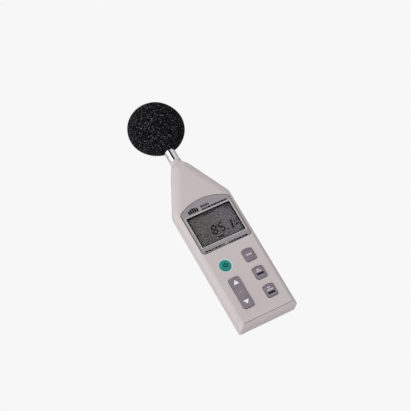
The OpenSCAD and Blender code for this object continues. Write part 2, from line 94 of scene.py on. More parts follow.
class Recipe:
    """A node material under construction: short names for adding nodes and joining them."""

    def __init__(self, name, **sockets):
        self.material = bpy.data.materials.new(name)
        self.material.use_nodes = True
        self.tree = self.material.node_tree
        self.shader = self.tree.nodes["Principled BSDF"]
        self.coords = self.add("ShaderNodeTexCoord").outputs["Object"]
        for socket, value in sockets.items():
            self.shader.inputs[socket.replace("_", " ")].default_value = value

    def add(self, kind, **settings):
        node = self.tree.nodes.new(kind)
        for name, value in settings.items():
            setattr(node, name, value)
        return node

    def join(self, output, target):
        self.tree.links.new(output, target)

    def noise(self, scale, detail=3.0, roughness=0.55, stretch=(1, 1, 1)):
        """Noise from 0 to 1 with features of about 1/scale metres."""
        node = self.add("ShaderNodeTexNoise")
        node.inputs["Scale"].default_value = scale
        node.inputs["Detail"].default_value = detail
        node.inputs["Roughness"].default_value = roughness
        mapping = self.add("ShaderNodeMapping")
        mapping.inputs["Scale"].default_value = stretch
        self.join(self.coords, mapping.inputs["Vector"])
        self.join(mapping.outputs["Vector"], node.inputs["Vector"])
        return node.outputs["Fac"]

    def cells(self, scale, feature="F1", jitter=1.0):
        node = self.add("ShaderNodeTexVoronoi", feature=feature)
        node.inputs["Scale"].default_value = scale
        node.inputs["Randomness"].default_value = jitter
        self.join(self.coords, node.inputs["Vector"])
        return node.outputs["Distance"]

    def spread(self, value, low, high, to_low=0.0, to_high=1.0):
        """Maps low..high smoothly to to_low..to_high."""
        node = self.add("ShaderNodeMapRange", interpolation_type="SMOOTHSTEP")
        for socket, number in zip(("From Min", "From Max", "To Min", "To Max"), (low, high, to_low, to_high)):
            node.inputs[socket].default_value = number
        self.join(value, node.inputs["Value"])
        return node.outputs["Result"]

    def maths(self, operation, first, second):
        node = self.add("ShaderNodeMath", operation=operation)
        for socket, value in zip(node.inputs, (first, second)):
            if isinstance(value, (int, float)):
                socket.default_value = value
            else:
                self.join(value, socket)
        return node.outputs["Value"]

    def blend(self, factor, first, second):
        """Colour between first and second, each a colour or an output."""
        node = self.add("ShaderNodeMix", data_type="RGBA")
        self.join(factor, node.inputs["Factor"])
        for socket, value in (("A", first), ("B", second)):
            target = [s for s in node.inputs if s.name == socket and s.type == "RGBA"][0]
            if isinstance(value, tuple):
                target.default_value = value
            else:
                self.join(value, target)
        return [s for s in node.outputs if s.type == "RGBA"][0]

    def edges(self, radius):
        """1 along edges sharper than the radius and 0 on flat faces, and the softened normal there."""
        bevel = self.add("ShaderNodeBevel", samples=6)
        bevel.inputs["Radius"].default_value = radius
        plain = self.add("ShaderNodeNewGeometry").outputs["Normal"]
        dot = self.add("ShaderNodeVectorMath", operation="DOT_PRODUCT")
        self.join(bevel.outputs["Normal"], dot.inputs[0])
        self.join(plain, dot.inputs[1])
        return self.spread(dot.outputs["Value"], 1.0, 0.88), bevel.outputs["Normal"]

    def bump(self, height, distance, strength=1.0, normal=None):
        node = self.add("ShaderNodeBump")
        node.inputs["Distance"].default_value = distance
        node.inputs["Strength"].default_value = strength
        self.join(height, node.inputs["Height"])
        if normal is not None:
            self.join(normal, node.inputs["Normal"])
        return node.outputs["Normal"]

    def finish(self, colour=None, roughness=None, normal=None):
        for socket, output in (("Base Color", colour), ("Roughness", roughness), ("Normal", normal)):
            if output is not None:
                self.join(output, self.shader.inputs[socket])
        return self.material


def moulded(name, colour, patch, edge_wear_and_highlight, roughness=0.5, grain=1500, depth=0.00006, edge=0.0005, foot=None,
            **sockets):
    """Spark-eroded moulded plastic: fine grain, faint cloudy patches, and an edge tone that is wear from
    handling and, where paler than the face, also a painted highlight.

    A foot is the tone near the ground.
    """
    recipe = Recipe(name, **sockets)
    rim, soft = recipe.edges(edge)
    if foot:
        split = recipe.add("ShaderNodeSeparateXYZ")
        recipe.join(recipe.coords, split.inputs[0])
        colour = recipe.blend(recipe.spread(split.outputs["Z"], 0.0, 0.14), foot, colour)
    cloud = recipe.noise(30, 3)
    tone = recipe.blend(recipe.spread(cloud, 0.35, 0.65), colour, patch)
    grease = recipe.noise(160, 5, 0.7)
    # Edge tone: wear from handling; where it is paler than the face it is also a painted highlight.
    edge_wear_and_highlight_mask = recipe.maths("MULTIPLY", rim, recipe.spread(grease, 0.35, 0.65, 0.35, 0.9))
    tone = recipe.blend(edge_wear_and_highlight_mask, tone, edge_wear_and_highlight)
    fine = recipe.noise(grain, 3, 0.6)
    shine = recipe.maths("ADD", recipe.spread(grease, 0.3, 0.7, roughness - 0.06, roughness + 0.06),
                         recipe.maths("MULTIPLY", rim, -0.12))
    return recipe.finish(tone, shine, recipe.bump(fine, depth, 0.6, soft))


def case_plastic():
    return moulded("case_plastic", srgb(209, 198, 198), srgb(208, 196, 197), srgb(224, 215, 214),
                   roughness=0.52, edge=0.0006, foot=srgb(207, 192, 195))


def bezel_plastic():
    return moulded("bezel_plastic", srgb(160, 151, 156), srgb(154, 146, 151), srgb(184, 177, 181),
                   roughness=0.46, edge=0.0003)


def key_rubber():
    return moulded("key_rubber", srgb(139, 127, 138), srgb(131, 119, 130), srgb(84, 74, 82),
                   roughness=0.6, grain=2200, edge=0.0009)


def power_rubber():
    return moulded("power_rubber", srgb(2, 152, 140), srgb(2, 142, 133), srgb(2, 104, 98),
                   roughness=0.45, grain=2200, edge=0.0012)


def dark_plastic():
    return moulded("dark_plastic", srgb(36, 36, 40), srgb(30, 30, 34), srgb(70, 70, 74),
                   roughness=0.5, edge=0.0003)


def elastomer():
    return moulded("elastomer", srgb(58, 58, 62), srgb(50, 50, 55), srgb(84, 84, 88),
                   roughness=0.7, edge=0.0003)


def silicone():
    return moulded("silicone", srgb(154, 160, 164), srgb(146, 153, 158), srgb(176, 181, 184),
                   roughness=0.55, grain=900, edge=0.0004, Subsurface_Weight=0.05)


def trimmer_plastic(name, colour, patch):
    edge_wear_and_highlight = tuple(min(1, c * 1.5) for c in colour[:3]) + (1,)
    return moulded(name, colour, patch, edge_wear_and_highlight, roughness=0.45, edge=0.0002)


def circuit_board():
    """Green solder mask with faint copper tracks under it."""
    recipe = Recipe("circuit_board", Coat_Weight=0.4, Coat_Roughness=0.2)
    split = recipe.add("ShaderNodeSeparateXYZ")
    recipe.join(recipe.coords, split.inputs[0])
    wobble = recipe.maths("MULTIPLY", recipe.noise(60, 1), 0.02)
    tracks_per_metre = 420
    place = recipe.maths("ADD", split.outputs["X"], wobble)
    line = recipe.maths("FRACT", recipe.maths("MULTIPLY", place, tracks_per_metre), 0)
    track = recipe.maths("MULTIPLY", recipe.spread(line, 0.42, 0.5), recipe.spread(line, 0.78, 0.7))
    tone = recipe.blend(track, srgb(34, 88, 56), srgb(60, 128, 78))
    tone = recipe.blend(recipe.spread(recipe.noise(90, 4), 0.35, 0.75, 0, 0.35), tone, srgb(24, 66, 44))
    return recipe.finish(tone, recipe.spread(recipe.noise(500), 0.3, 0.7, 0.38, 0.55),
                         recipe.bump(track, 0.00004))


def metal(name, colour, tarnish, roughness=0.28, brush=(1, 1, 1), brush_scale=900, depth=0.00002, pitch=0):
    """Plated or machined metal with brushing, faint tarnish and paler edges that are a painted highlight; a
    pitch adds threads along Y.
    """
    recipe = Recipe(name, Metallic=1.0)
    rim, soft = recipe.edges(0.0002)
    stain = recipe.spread(recipe.noise(70, 5, 0.65), 0.45, 0.75, 0, 0.6)
    tone = recipe.blend(stain, colour, tarnish)
    # Painted highlight: edges mixed towards near white.
    tone = recipe.blend(recipe.maths("MULTIPLY", rim, 0.5), tone, srgb(232, 232, 234))
    hair = recipe.noise(brush_scale, 2, 0.5, brush)
    shine = recipe.maths("ADD", recipe.spread(hair, 0.25, 0.75, roughness - 0.05, roughness + 0.06),
                         recipe.maths("MULTIPLY", stain, 0.12))
    normal = recipe.bump(hair, depth, 0.5, soft)
    if pitch:
        split = recipe.add("ShaderNodeSeparateXYZ")
        recipe.join(recipe.coords, split.inputs[0])
        turn = recipe.maths("MULTIPLY", split.outputs["Y"], 2 * math.pi / pitch)
        normal = recipe.bump(recipe.maths("SINE", turn, 0), pitch * 0.25, 1.0, normal)
    return recipe.finish(tone, shine, normal)


def chrome():
    """Bright plated tube with faint turned rings and a few finger marks."""
    return metal("chrome", srgb(230, 228, 231), srgb(214, 211, 215), roughness=0.09, brush=(0.05, 0.05, 1),
                 brush_scale=1500, depth=0.000004)


def lcd_glass():
    """Grey-green reflective display, faintly mottled; its shift from greener and darker at the left to more
    purple at the right is a painted viewing-angle tint.
    """
    recipe = Recipe("lcd_glass", Coat_Weight=0.15, Coat_Roughness=0.1)
    low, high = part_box("lcd_panel")
    split = recipe.add("ShaderNodeSeparateXYZ")
    recipe.join(recipe.coords, split.inputs[0])
    # Painted viewing-angle tint: greener and darker at the left, more purple at the right.
    across = recipe.spread(split.outputs["X"], low.x * 0.7, high.x * 0.5)
    tone = recipe.blend(across, srgb(98, 97, 90), srgb(115, 108, 113))
    mottle = recipe.spread(recipe.noise(70, 4, 0.6), 0.4, 0.7, 0, 0.6)
    tone = recipe.blend(mottle, tone, srgb(88, 85, 86))
    return recipe.finish(tone, recipe.spread(recipe.noise(900), 0.3, 0.7, 0.45, 0.6),
                         recipe.bump(recipe.noise(3000, 2), 0.00002, 0.4))


def clear_window():
    """Thin clear acrylic that lets the lamps' light through, with faint smudges in its gloss."""
    recipe = Recipe("clear_window", Transmission_Weight=1.0, IOR=1.2)
    recipe.shader.inputs["Base Color"].default_value = srgb(250, 250, 252)
    smudge = recipe.noise(45, 4, 0.6)
    recipe.join(recipe.spread(smudge, 0.4, 0.75, 0.02, 0.09), recipe.shader.inputs["Roughness"])
    clear = recipe.add("ShaderNodeBsdfTransparent")
    mix = recipe.add("ShaderNodeMixShader")
    recipe.join(recipe.add("ShaderNodeLightPath").outputs["Is Shadow Ray"], mix.inputs[0])
    recipe.join(recipe.shader.outputs[0], mix.inputs[1])
    recipe.join(clear.outputs[0], mix.inputs[2])
    recipe.join(mix.outputs[0], recipe.tree.nodes["Material Output"].inputs["Surface"])
    return recipe.material


def ink(name, colour, faded, roughness=0.5):
    """Screen-printed ink, thin and slightly uneven."""
    recipe = Recipe(name, Specular_IOR_Level=0.1)
    fade = recipe.spread(recipe.noise(420, 4, 0.7), 0.4, 0.8, 0, 0.5)
    return recipe.finish(recipe.blend(fade, colour, faded),
                         recipe.spread(recipe.noise(1600), 0.3, 0.7, roughness - 0.08, roughness + 0.08),
                         recipe.bump(recipe.noise(3200, 2), 0.00002, 0.4))


def foam():
    """Open-cell black foam: dull walls between pores made near black by painted shade, darkest where the mesh
    is dented, with pale specks on the highest strands that are painted glints and dust.
    """
    recipe = Recipe("foam", Roughness=0.95, Specular_IOR_Level=0.08)
    dent = recipe.add("ShaderNodeAttribute", attribute_name="dent").outputs["Fac"]
    wall = recipe.spread(recipe.cells(560, "DISTANCE_TO_EDGE"), 0.16, 0.02)
    small = recipe.spread(recipe.cells(1150, "DISTANCE_TO_EDGE"), 0.2, 0.03)
    strands = recipe.maths("MAXIMUM", wall, recipe.maths("MULTIPLY", small, 0.5))
    # Painted shade: the cells stay near black, and the strands darken too where the mesh is dented deep.
    strands = recipe.maths("MULTIPLY", strands, recipe.spread(dent, 0.7, 0.1))
    tone = recipe.blend(strands, srgb(1, 1, 2), srgb(24, 23, 28))
    # Pale specks on the highest strands: painted glints, with some dust.
    glints_and_dust = recipe.maths("MULTIPLY", recipe.spread(recipe.noise(800, 1, 0.7), 0.58, 0.68), strands)
    tone = recipe.blend(glints_and_dust, tone, srgb(150, 148, 152))
    shine = recipe.spread(recipe.noise(300), 0.3, 0.7, 0.85, 1.0)
    return recipe.finish(tone, shine, recipe.bump(strands, 0.0004, 0.7))


def paper_label():
    """Off-white label paper with faint stains."""
    recipe = Recipe("paper_label")
    stain = recipe.spread(recipe.noise(70, 5, 0.7), 0.4, 0.8, 0, 0.5)
    tone = recipe.blend(stain, srgb(214, 213, 210), srgb(196, 193, 188))
    return recipe.finish(tone, recipe.spread(recipe.noise(700), 0.3, 0.7, 0.4, 0.55),
                         recipe.bump(recipe.noise(1200, 3), 0.00003, 0.5))


def cell_wrap(name, band, body, share):
    """Printed sleeve of a dry cell: a band of one colour round one end of a darker body."""
    recipe = Recipe(name, Coat_Weight=0.5, Coat_Roughness=0.12)
    low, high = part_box("cell_1")
    split = recipe.add("ShaderNodeSeparateXYZ")
    recipe.join(recipe.coords, split.inputs[0])
    edge = low.z + (high.z - low.z) * share
    tone = recipe.blend(recipe.spread(split.outputs["Z"], edge, edge + 0.0003), body, band)
    scuffs = recipe.spread(recipe.noise(120, 5, 0.7), 0.5, 0.8, 0, 0.25)
    tone = recipe.blend(scuffs, tone, srgb(120, 118, 116))
    return recipe.finish(tone, recipe.spread(recipe.noise(500), 0.3, 0.7, 0.3, 0.42),
                         recipe.bump(recipe.noise(600, 2), 0.00003, 0.3))


# ---------------------------------------------------------------- meshes

def new_piece(name, mesh, body, material, replaces=()):
    """Puts a mesh in the scene as a piece that rides a body, fills a slot and may replace CAD nodes."""
    piece = bpy.data.objects.new(name, mesh)
    bpy.context.scene.collection.objects.link(piece)
    piece.data.materials.clear()
    piece.data.materials.append(material)
    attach(piece, body)
    if replaces:
        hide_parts(*replaces)
    return piece


def softened(node, body, material, width, chosen, segments=3):
    """A copy of a CAD node whose chosen edges are rounded; chosen tells from an edge's two ends."""
    work = bmesh.new()
    work.from_mesh(NODES[node].data)
    same_point, flat, crease = 2e-6, math.radians(1), math.radians(40)
    bmesh.ops.remove_doubles(work, verts=work.verts, dist=same_point)
    bmesh.ops.dissolve_limit(work, angle_limit=flat, verts=work.verts, edges=work.edges)
    sharp = [e for e in work.edges
             if len(e.link_faces) == 2 and e.calc_face_angle() > crease and chosen(*(v.co for v in e.verts))]
    bmesh.ops.bevel(work, geom=sharp, offset=width, segments=segments, profile=0.5, affect="EDGES",
                    clamp_overlap=False)
    bmesh.ops.triangulate(work, faces=[f for f in work.faces if len(f.verts) > 4])
    mesh = bpy.data.meshes.new(node + "_shaped")
    work.to_mesh(mesh)
    work.free()
    mesh.shade_smooth()
    mesh.set_sharp_from_angle(angle=math.radians(28))
    return new_piece(node + "_shaped", mesh, body, material, [node])


def prism(work, outline, y_front, y_back):
    """Adds a thin plate to a bmesh: an outline of x, z points between two y planes, or two depths that
    follow x and z."""
    depth_front = y_front if callable(y_front) else lambda x, z: y_front
    depth_back = y_back if callable(y_back) else lambda x, z: y_back
    front = [work.verts.new((x, depth_front(x, z), z)) for x, z in outline]
    back = [work.verts.new((x, depth_back(x, z), z)) for x, z in outline]
    work.faces.new(front)
    work.faces.new(back[::-1])
    count = len(outline)
    for i in range(count):
        j = (i + 1) % count
        work.faces.new((front[i], back[i], back[j], front[j]))


def plates(name, outlines, y_front, y_back, body, material):
    """One piece made of several thin plates."""
    work = bmesh.new()
    for outline in outlines:
        prism(work, outline, y_front, y_back)
    bmesh.ops.recalc_face_normals(work, faces=work.faces)
    mesh = bpy.data.meshes.new(name)
    work.to_mesh(mesh)
    work.free()
    return new_piece(name, mesh, body, material)


def rim_frame(name, inner, width, y_front, y_back, body, material):
    """A mitred frame round the rectangle inner, (x0, z0, x1, z1), with both edges of its face chamfered."""
    x0, z0, x1, z1 = inner
    work = bmesh.new()
    rings = []
    for out, y in ((0, y_back), (width * 0.2, y_front), (width * 0.8, y_front), (width, y_back)):
        corners = ((x0 - out, z0 - out), (x1 + out, z0 - out), (x1 + out, z1 + out), (x0 - out, z1 + out))
        rings.append([work.verts.new((x, y, z)) for x, z in corners])
    for first, second in zip(rings, rings[1:] + rings[:1]):
        for i in range(4):
            j = (i + 1) % 4
            work.faces.new((first[i], second[i], second[j], first[j]))
    bmesh.ops.recalc_face_normals(work, faces=work.faces)
    mesh = bpy.data.meshes.new(name)
    work.to_mesh(mesh)
    work.free()
    return new_piece(name, mesh, body, material)


def ring(name, inner, outer, y_front, y_back, body, material):
    """A flat closed band between two outlines of x, z points that have as many points each."""
    work = bmesh.new()
    loops = [[work.verts.new((x, y, z)) for x, z in outline]
             for outline, y in ((inner, y_front), (outer, y_front), (outer, y_back), (inner, y_back))]
    count = len(inner)
    for first, second in zip(loops, loops[1:] + loops[:1]):
        for i in range(count):
            j = (i + 1) % count
            work.faces.new((first[i], second[i], second[j], first[j]))
    bmesh.ops.recalc_face_normals(work, faces=work.faces)
    mesh = bpy.data.meshes.new(name)
    work.to_mesh(mesh)
    work.free()
    return new_piece(name, mesh, body, material)


def bezel_outline(grow):
    """The bezel's outline, arched at the top and round at its corners, grown outwards."""
    low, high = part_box("display_bezel")
    arch_z = high.z - BEZEL_ARCH_R
    corner_x = high.x - BEZEL_CORNER_R
    corner_z = arch_z + math.sqrt((BEZEL_ARCH_R - BEZEL_CORNER_R) ** 2 - corner_x ** 2)
    lean = math.degrees(math.atan2(corner_z - arch_z, corner_x))
    corner = BEZEL_CORNER_R + grow
    points = []
    for x, z, radius, start, end, steps in (
            (0, arch_z, BEZEL_ARCH_R + grow, lean, 180 - lean, 40),
            (-corner_x, corner_z, corner, 180 - lean, 180, 6),
            (-corner_x, low.z + BEZEL_CORNER_R, corner, 180, 270, 8),
            (corner_x, low.z + BEZEL_CORNER_R, corner, 270, 360, 8),
            (corner_x, corner_z, corner, 0, lean, 6)):
        for i in range(steps):
            angle = math.radians(start + (end - start) * (i + 0.5) / steps)
            points.append((x + radius * math.cos(angle), z + radius * math.sin(angle)))
    return points


def lathe(name, profile, centre, axis, body, material, around=64):
    """A closed ring turned from (radius, along) points about an axis, X, Y or Z, through centre."""
    work = bmesh.new()
    rings = []
    for i in range(around):
        angle = 2 * math.pi * i / around
        across = (math.cos(angle), math.sin(angle))
        loop = []
        for radius, along in profile:
            place = {"X": (along, radius * across[0], radius * across[1]),
                     "Y": (radius * across[1], along, radius * across[0]),
                     "Z": (radius * across[0], radius * across[1], along)}[axis]
            loop.append(work.verts.new(Vector(centre) + Vector(place)))
        rings.append(loop)
    for first, second in zip(rings, rings[1:] + rings[:1]):
        for i in range(len(profile)):
            j = (i + 1) % len(profile)
            work.faces.new((first[i], second[i], second[j], first[j]))
    bmesh.ops.recalc_face_normals(work, faces=work.faces)
    mesh = bpy.data.meshes.new(name)
    work.to_mesh(mesh)
    work.free()
    mesh.shade_smooth()
    mesh.set_sharp_from_angle(angle=math.radians(30))
    return new_piece(name, mesh, body, material)


def bar(x0, z0, x1, z1, lean=0.0):
    """A rectangle that may lean to the right as it rises."""
    shift = (z1 - z0) * lean
    return [(x0, z0), (x1, z0), (x1 + shift, z1), (x0 + shift, z1)]


def arc(x, z, radius, start, end, width, steps=32):
    """A ring's stretch, from one angle to another, as an outline."""
    angles = [math.radians(start + (end - start) * i / steps) for i in range(steps + 1)]
    outer = [(x + (radius + width / 2) * math.cos(a), z + (radius + width / 2) * math.sin(a)) for a in angles]
    inner = [(x + (radius - width / 2) * math.cos(a), z + (radius - width / 2) * math.sin(a)) for a in angles]
    return outer + inner[::-1]


def words(x0, x1, z, height, seed, shortest=0.0012, longest=0.0042, gap=0.0007):
    """A row of plain blocks that stands for a printed line without spelling anything."""
    draw = np.random.default_rng(seed)
    blocks, x = [], x0
    while x < x1 - shortest:
        width = min(draw.uniform(shortest, longest), x1 - x)
        blocks.append(bar(x, z - height / 2, x + width, z + height / 2))
        x += width + gap
    return blocks


# ---------------------------------------------------------------- display

SEGMENTS = {"8": "abcdefg", "5": "acdfg"}


def digit_outlines(symbol, x, z, width, height, stroke, lean=0.08):
    """Seven-segment digit as six-sided bars, leaning slightly to the right."""
    half, middle, gap = stroke / 2, height / 2, stroke * 0.12
    ends = {
        "a": ((0, height), (width, height)), "g": ((0, middle), (width, middle)), "d": ((0, 0), (width, 0)),
        "f": ((0, middle), (0, height)), "b": ((width, middle), (width, height)),
        "e": ((0, 0), (0, middle)), "c": ((width, 0), (width, middle)),
    }
    outlines = []
    for name in SEGMENTS[symbol]:
        (x0, z0), (x1, z1) = ends[name]
        along = Vector((x1 - x0, z1 - z0)).normalized()
        side = Vector((-along.y, along.x))
        a, b = Vector((x0, z0)) + along * gap, Vector((x1, z1)) - along * gap
        shape = [a, a + (along - side) * half, b - (along + side) * half, b, b - (along - side) * half,
                 a + (along + side) * half]
        outlines.append([(x + p.x + (p.y) * lean, z + p.y) for p in shape])
    return outlines


def display():
    """The display's digits and marks, and the black border printed on its window."""
    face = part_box("lcd_panel")[0].y
    lift = face - 0.00008
    black = ink("lcd_segment", srgb(12, 11, 14), srgb(22, 20, 24))
    dim = ink("lcd_mark", srgb(40, 38, 40), srgb(56, 54, 56))
    digit_z, digit_h, stroke, lean = 0.1134, 0.0101, 0.0023, 0.12
    shapes = digit_outlines("8", -0.0070, digit_z, 0.0053, digit_h, stroke, lean)
    shapes += digit_outlines("5", 0.0021, digit_z, 0.0054, digit_h, stroke, lean)
    shapes.append(bar(0.0157, digit_z - 0.0015, 0.0179, digit_z + 0.0090, 0.16))
    shapes.append(bar(0.0096, digit_z - 0.0010, 0.0115, digit_z + 0.0009))
    plates("lcd_digits", shapes, lift, face, "meter", black)
    marks = words(0.0214, 0.0240, 0.1190, 0.0022, 11, 0.0018, 0.0026, 0.0006)
    marks += words(0.0203, 0.0262, 0.1144, 0.0026, 12, 0.0010, 0.0018, 0.0005)
    marks += words(-0.0044, 0.0044, 0.1084, 0.0025, 13, 0.0014, 0.0022, 0.0005)
    plates("lcd_units", marks, lift, face, "meter", black)
    faint = words(-0.0258, -0.0200, 0.1200, 0.0014, 14, 0.0014, 0.0030, 0.0006)
    faint += words(-0.0262, -0.0230, 0.1355, 0.0018, 15, 0.0010, 0.0020, 0.0006)
    faint += words(-0.0060, 0.0060, 0.1396, 0.0016, 16, 0.0010, 0.0024, 0.0006)
    faint += words(0.0200, 0.0258, 0.1385, 0.0014, 17, 0.0010, 0.0020, 0.0006)
    plates("lcd_faint_marks", faint, lift, face, "meter", dim)
    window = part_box("display_window")[0].y
    border, under_bezel, thick = 0.0014, 0.0004, 0.00006
    x0, z0, x1, z1 = opening()
    rim_frame("window_border", (x0 + border, z0 + border, x1 - border, z1 - border), border + under_bezel,
              window - thick, window, "meter",
              ink("border_ink", srgb(14, 13, 15), srgb(24, 22, 25), 0.35))


def opening():
    """The window's clear opening in the bezel: x0, z0, x1, z1."""
    overlap = 0.0009
    low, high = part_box("display_window")
    return low.x + overlap, low.z + overlap, high.x - overlap, high.z - overlap


# ---------------------------------------------------------------- printing and rims

def bezel_dressing():
    """Printed marks on the bezel, the pale rim that frames the window and a near-black ring round the bezel
    that is painted shade in the groove there.
    """
    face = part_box("display_bezel")[0].y
    dark = ink("bezel_ink", srgb(40, 32, 40), srgb(64, 56, 64))
    grey = ink("bezel_grey_ink", srgb(74, 60, 78), srgb(96, 84, 98))
    bold = ink("bezel_bold_ink", srgb(16, 14, 17), srgb(28, 26, 30))
    rim = moulded("rim_plastic", srgb(222, 215, 217), srgb(212, 205, 208), srgb(236, 231, 233),
                  roughness=0.4, edge=0.0002)
    lift = face - PRINT_LIFT
    mark_x, mark_z, pitch, wide = -0.0219, 0.1455, 0.0026, 0.0021
    level_heights = (0.0044, 0.0055, 0.0063, 0.0058, 0.0049)
    level_bars = [bar(mark_x + i * pitch, mark_z, mark_x + i * pitch + wide, mark_z + height)
                  for i, height in enumerate(level_heights)]
    plates("bezel_level_mark", level_bars, lift, face, "meter", bold)
    plates("bezel_grey_print", words(-0.0054, 0.0052, 0.1494, 0.0029, 21, 0.0018, 0.0026, 0.0005), lift, face,
           "meter", grey)
    rows = words(-0.0054, 0.0266, 0.1457, 0.0021, 22, 0.0014, 0.0044, 0.0005)
    rows += words(-0.0276, -0.0028, 0.0974, 0.0018, 23)
    rows += words(0.0020, 0.0274, 0.0968, 0.0018, 24)
    plates("bezel_print", rows, lift, face, "meter", dark)
    rim_width, rim_lift = 0.0009, 0.00015
    rim_frame("window_rim", opening(), rim_width, face - rim_lift, face, "meter", rim)
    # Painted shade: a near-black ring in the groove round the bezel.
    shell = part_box("front_housing")[0].y
    inside, outside, top, foot = 0.00003, 0.00057, 0.00006, 0.0006
    ring("bezel_moat_shade", bezel_outline(inside), bezel_outline(outside), shell + top, shell + foot,
         "meter", ink("moat_painted_shade", srgb(34, 29, 31), srgb(46, 41, 43), 0.7))


def key_print():
    """Pale marks on the three keys and the dark band across two of them."""
    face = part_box("key_upper")[0].y
    white = ink("key_white_ink", srgb(232, 224, 234), srgb(200, 191, 203))
    black = ink("key_black_ink", srgb(14, 9, 13), srgb(26, 20, 25))
    lift, sink = face - PRINT_LIFT, face + PRINT_SINK
    band_half, band_rise = 0.0043, 0.0011
    for node, body, white_marks, band in (
        ("key_upper", "upper_key", [(0.0001, 0.0034, 0.0015)], None),
        ("key_middle", "middle_key", [(0.0034, 0.0020, 0.0014), (0.0012, 0.0032, 0.0012)], -0.0018),
        ("key_lower", "lower_key", [(0.0036, 0.0018, 0.0014), (0.0006, 0.0036, 0.0014)], -0.0031),
    ):
        low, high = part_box(node)
        x, z = (low.x + high.x) / 2, (low.z + high.z) / 2
        marks = []
        for i, (height, half, tall) in enumerate(white_marks):
            marks += words(x - half, x + half, z + height, tall, 31 + i, 0.0008, 0.0018, 0.0004)
        plates(node + "_white_print", marks, lift, sink, body, white)
        if band is not None:
            outline = bar(x - band_half, z + band - band_rise, x + band_half, z + band + band_rise)
            plates(node + "_black_band", [outline], lift, sink, body, black)


def front_outline(node, grow):
    """Outline of a convex key as seen from the front, grown outwards."""
    front_depth = 0.0008
    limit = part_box(node)[0].y + front_depth
    corners = [Vector((v.co.x, v.co.z)) for v in NODES[node].data.vertices if v.co.y < limit]
    outline = [corners[i] for i in convex_hull_2d(corners)]
    grown = []
    for before, here, after in zip(outline[-1:] + outline[:-1], outline, outline[1:] + outline[:1]):
        along = ((here - before).normalized() + (after - here).normalized()).normalized()
        grown.append((here.x + along.y * grow, here.y - along.x * grow))
    return grown


def key_gap_shades():
    """Near-black rings in the gaps round the keys, painted shade where the gaps fall dark; the rocker's lies
    deeper, where it moves least.
    """
    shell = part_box("front_housing")[0].y
    # Painted shade: near-black rings in the shadowed gaps round the keys.
    gap_shade = ink("key_seal", srgb(10, 7, 9), srgb(20, 16, 19), 0.8)
    snug, shallow, reach, thick = 0.00006, 0.00006, 0.00038, 0.0005
    for node, clear, deep in (("key_upper", snug, shallow), ("key_middle", snug, shallow),
                              ("key_lower", snug, shallow), ("level_rocker", 0.00024, 0.0014)):
        ring(node + "_seal", front_outline(node, clear), front_outline(node, reach),
             shell + deep, shell + deep + thick, "meter", gap_shade)


def score_line_shade():
    """Painted shade: a dark strip in the score line above the foot."""
    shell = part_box("front_housing")[0].y
    half, low_z, high_z = 0.0310, 0.00424, 0.00466
    top, foot = 0.0001, 0.00034
    plates("score_line_shade", [bar(-half, low_z, half, high_z)], shell + top, shell + foot, "meter",
           ink("score_painted_shade", srgb(84, 72, 76), srgb(120, 106, 110), 0.8))


def rocker_print():
    """Arrows at the rocker's ends and a faint mark in its thumb hollow."""
    low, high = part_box("level_rocker")
    white = ink("arrow_ink", srgb(250, 246, 252), srgb(232, 226, 234))
    x = (low.x + high.x) / 2
    face = low.y
    half, tall = 0.0033, 0.0052
    up_z, down_z = 0.0487, 0.0281
    arrows = [[(x - half, up_z), (x + half, up_z), (x, up_z + tall)],
              [(x - half, down_z), (x, down_z - tall), (x + half, down_z)]]
    plates("rocker_arrows", arrows, face - PRINT_LIFT, face + PRINT_SINK, "rocker", white)
    middle = (low.z + high.z) / 2
    hollow_r, deepest = 0.030, 0.0004
    faint = ink("rocker_faint_ink", srgb(176, 167, 180), srgb(160, 150, 163))

    def hollow(lift):
        """Depth of the thumb hollow's floor, lift off it, at a height z."""
        return lambda _, z: face + deepest - hollow_r + math.sqrt(hollow_r ** 2 - (z - middle) ** 2) - lift

    mark = words(x - 0.0026, x + 0.0026, middle + 0.0008, 0.0012, 41, 0.001, 0.0018, 0.0005)
    plates("rocker_mark", mark, hollow(0.00006), hollow(-0.00003), "rocker", faint)


def power_print():
    """The power symbol on its button, and a near-white ring in the dish round it that is a painted highlight.
    """
    low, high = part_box("power_button")
    teal = ink("power_ink", srgb(0, 22, 30), srgb(2, 34, 42))
    x, z, face = (low.x + high.x) / 2, (low.z + high.z) / 2, low.y
    shapes = [arc(x, z, 0.0022, 128, 412, 0.0011), bar(x - 0.00055, z + 0.0002, x + 0.00055, z + 0.0031)]
    plates("power_symbol", shapes, face - PRINT_LIFT, face + PRINT_SINK, "power_key", teal)
    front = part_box("front_housing")[0].y
    # Painted highlight: a near-white ring lying in the dish round the button.
    outer, inner, deep, thick = 0.0083, 0.0069, 0.00066, 0.00012
    pale = moulded("pale_seal", srgb(238, 250, 245), srgb(226, 242, 236), srgb(246, 252, 249),
                   roughness=0.4, edge=0.0001)
    lathe("power_highlight_ring", [(outer, 0), (inner, deep), (inner, deep - thick), (outer, -thick)],
          (x, front, z), "Y", "meter", pale)


# ---------------------------------------------------------------- foam windscreen

